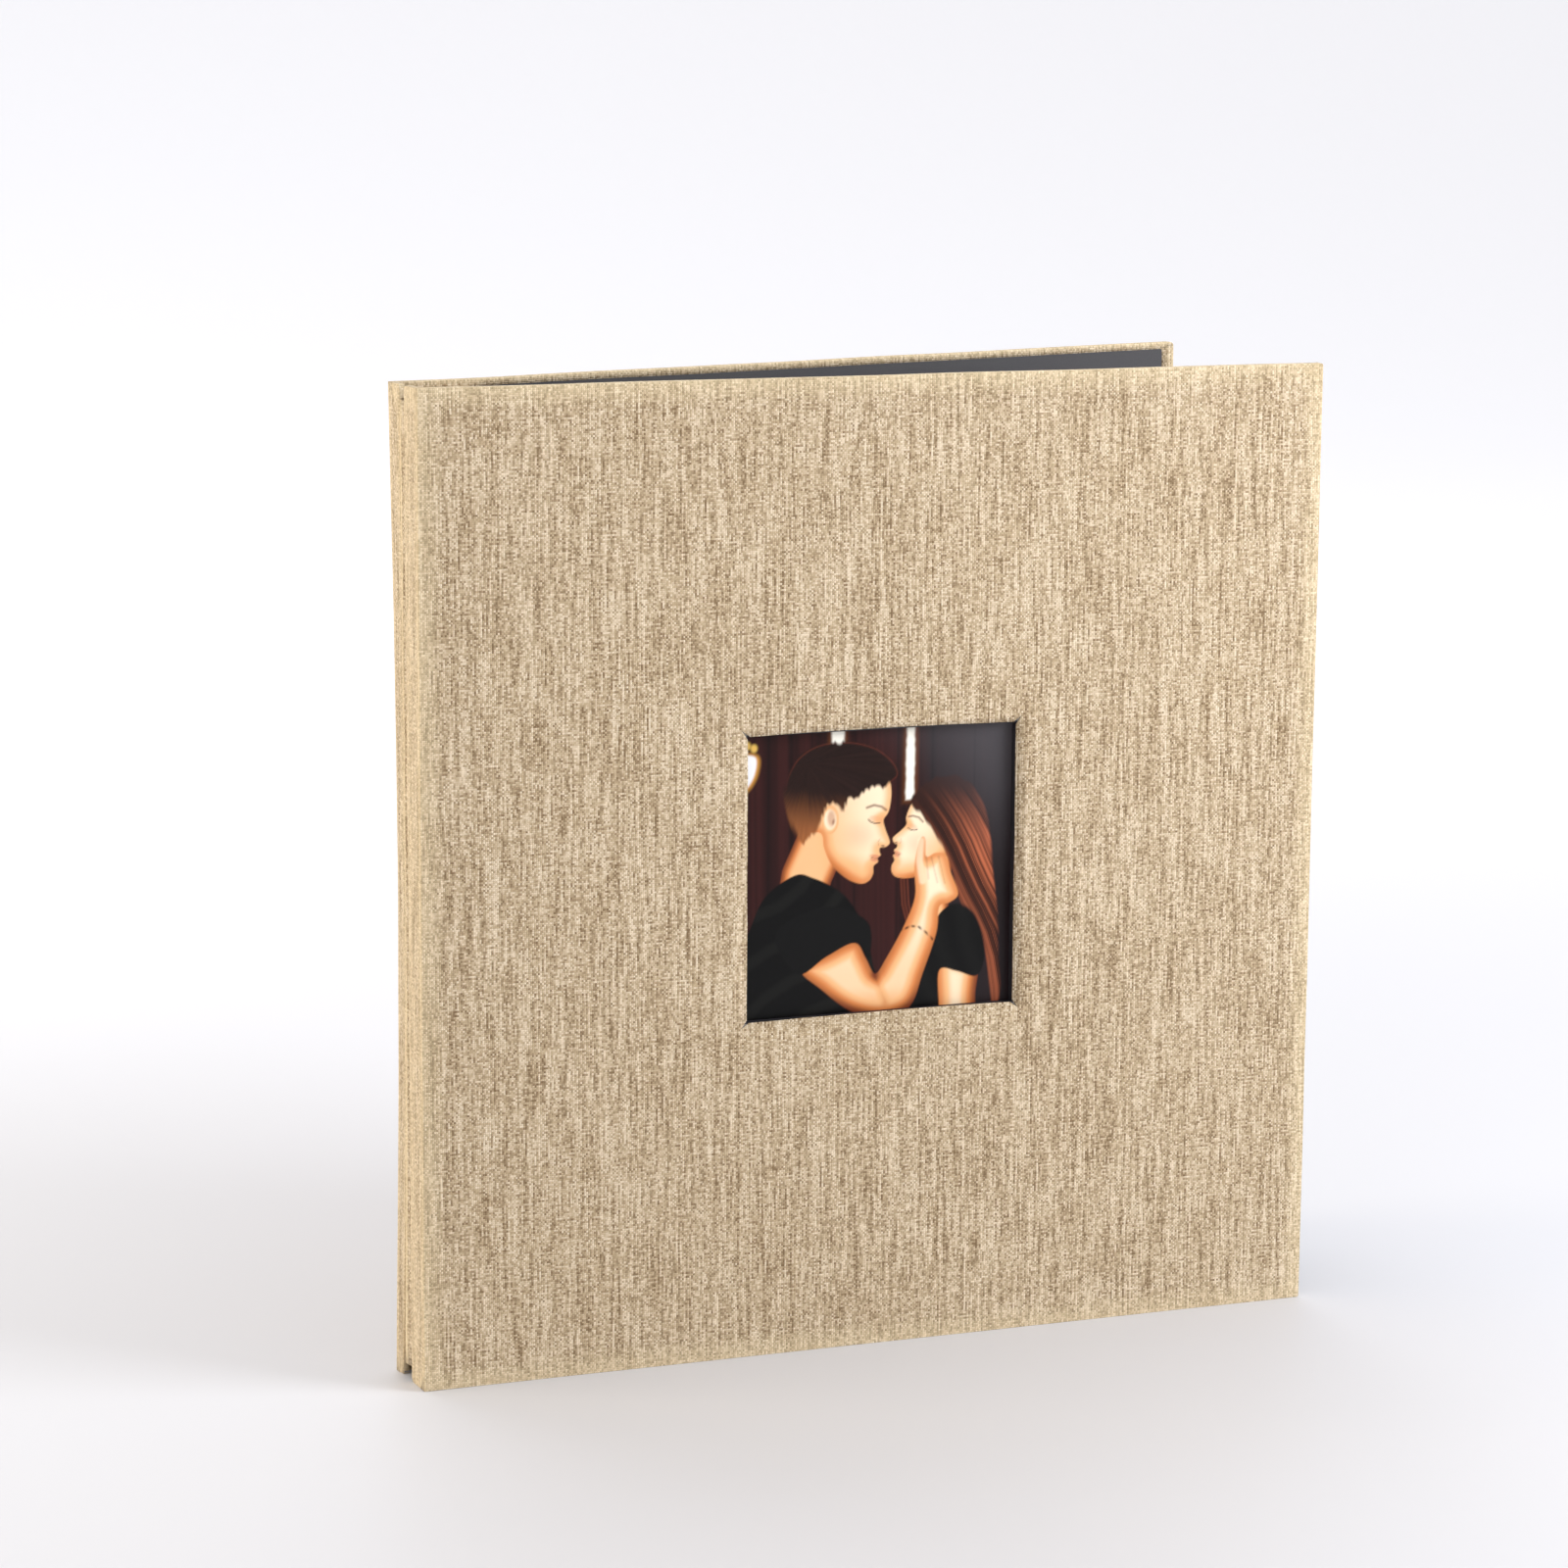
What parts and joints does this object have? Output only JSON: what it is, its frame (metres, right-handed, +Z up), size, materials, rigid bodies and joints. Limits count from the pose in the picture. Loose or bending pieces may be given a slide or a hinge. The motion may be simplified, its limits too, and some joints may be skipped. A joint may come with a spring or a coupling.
{
  "type": "scrapbook album",
  "caption": "Near-square post-bound scrapbook album in linen-look cloth, with a photo window in the front cover and black card leaves, standing slightly open.",
  "frame": {"origin": "middle of the standing album's foot, at the floor", "axes": "+Z up, front cover parallel to XZ and facing -Y, +X from the spine to the fore edge"},
  "size_m": [0.2742, 0.085, 0.28],
  "materials": {
    "cover_cloth": "oatmeal linen-look book cloth",
    "grey_board": "grey book board",
    "black_lining": "matt black lining paper",
    "page_card": "matt black page card",
    "print_paper": "semi-gloss photo print",
    "post_metal": "plain screw posts"
  },
  "bodies": {
    "binding": {"front_spine_board": "grey_board", "front_spine_cloth": "cover_cloth", "front_flap_board": "grey_board", "front_flap_cloth": "cover_cloth", "back_spine_board": "grey_board", "back_spine_cloth": "cover_cloth", "back_flap_board": "grey_board", "back_flap_cloth": "cover_cloth", "spine_strip_card": "grey_board", "spine_strip_cloth": "cover_cloth", "leaf_stubs": "page_card", "spacer_strips": "page_card", "post_barrels": "post_metal", "post_screws": "post_metal"},
    "front_cover": {"front_cover_board": "grey_board", "front_cover_cloth": "cover_cloth", "front_endpaper": "black_lining", "window_liner": "black_lining", "pocket_frame": "black_lining", "pocket_backing": "black_lining"},
    "back_cover": {"back_cover_board": "grey_board", "back_cover_cloth": "cover_cloth", "back_endpaper": "black_lining"},
    "photo_print": {"photo_print": "print_paper"},
    "leaf_01": {"leaf_01": "page_card"},
    "leaf_02": {"leaf_02": "page_card"},
    "leaf_03": {"leaf_03": "page_card"},
    "leaf_04": {"leaf_04": "page_card"},
    "leaf_05": {"leaf_05": "page_card"},
    "leaf_06": {"leaf_06": "page_card"},
    "leaf_07": {"leaf_07": "page_card"},
    "leaf_08": {"leaf_08": "page_card"},
    "leaf_09": {"leaf_09": "page_card"},
    "leaf_10": {"leaf_10": "page_card"}
  },
  "joints": [
    {"name": "front_cover_hinge", "type": "hinge", "parent": "binding", "child": "front_cover", "pos_m": [-0.13587, -0.04255, 0.14], "axis": [0, 0, -1], "range_deg": [-3.35, 176.65]},
    {"name": "back_cover_hinge", "type": "hinge", "parent": "binding", "child": "back_cover", "pos_m": [-0.13716, -0.02049, 0.14], "axis": [0, 0, 1], "range_deg": [-10, 170]},
    {"name": "photo_print_slide", "type": "slide", "parent": "front_cover", "child": "photo_print", "axis": [0, 0, 1], "range_m": [0, 0.09]},
    {"name": "leaf_01_hinge", "type": "hinge", "parent": "binding", "child": "leaf_01", "pos_m": [-0.10634, -0.03358, 0.14], "axis": [0, 0, -1], "range_deg": [-1.84, 97.16]},
    {"name": "leaf_02_hinge", "type": "hinge", "parent": "binding", "child": "leaf_02", "pos_m": [-0.10574, -0.0327, 0.14], "axis": [0, 0, -1], "range_deg": [-1.66, 87.34]},
    {"name": "leaf_03_hinge", "type": "hinge", "parent": "binding", "child": "leaf_03", "pos_m": [-0.10514, -0.03181, 0.14], "axis": [0, 0, -1], "range_deg": [-1.47, 77.53]},
    {"name": "leaf_04_hinge", "type": "hinge", "parent": "binding", "child": "leaf_04", "pos_m": [-0.10454, -0.03092, 0.14], "axis": [0, 0, -1], "range_deg": [-1.28, 67.72]},
    {"name": "leaf_05_hinge", "type": "hinge", "parent": "binding", "child": "leaf_05", "pos_m": [-0.10394, -0.03004, 0.14], "axis": [0, 0, -1], "range_deg": [-1.1, 57.9]},
    {"name": "leaf_06_hinge", "type": "hinge", "parent": "binding", "child": "leaf_06", "pos_m": [-0.10334, -0.02915, 0.14], "axis": [0, 0, -1], "range_deg": [-0.91, 48.09]},
    {"name": "leaf_07_hinge", "type": "hinge", "parent": "binding", "child": "leaf_07", "pos_m": [-0.10274, -0.02826, 0.14], "axis": [0, 0, -1], "range_deg": [-0.73, 38.27]},
    {"name": "leaf_08_hinge", "type": "hinge", "parent": "binding", "child": "leaf_08", "pos_m": [-0.10214, -0.02738, 0.14], "axis": [0, 0, -1], "range_deg": [-0.54, 28.46]},
    {"name": "leaf_09_hinge", "type": "hinge", "parent": "binding", "child": "leaf_09", "pos_m": [-0.10155, -0.02649, 0.14], "axis": [0, 0, -1], "range_deg": [-0.35, 18.65]},
    {"name": "leaf_10_hinge", "type": "hinge", "parent": "binding", "child": "leaf_10", "pos_m": [-0.10095, -0.0256, 0.14], "axis": [0, 0, -1], "range_deg": [-0.17, 8.83]}
  ],
  "couplings": [
    {"joint": "leaf_01_hinge", "follows": "front_cover_hinge", "ratio": 0.55},
    {"joint": "leaf_02_hinge", "follows": "front_cover_hinge", "ratio": 0.49444},
    {"joint": "leaf_03_hinge", "follows": "front_cover_hinge", "ratio": 0.43889},
    {"joint": "leaf_04_hinge", "follows": "front_cover_hinge", "ratio": 0.38333},
    {"joint": "leaf_05_hinge", "follows": "front_cover_hinge", "ratio": 0.32778},
    {"joint": "leaf_06_hinge", "follows": "front_cover_hinge", "ratio": 0.27222},
    {"joint": "leaf_07_hinge", "follows": "front_cover_hinge", "ratio": 0.21667},
    {"joint": "leaf_08_hinge", "follows": "front_cover_hinge", "ratio": 0.16111},
    {"joint": "leaf_09_hinge", "follows": "front_cover_hinge", "ratio": 0.10556},
    {"joint": "leaf_10_hinge", "follows": "front_cover_hinge", "ratio": 0.05}
  ]
}
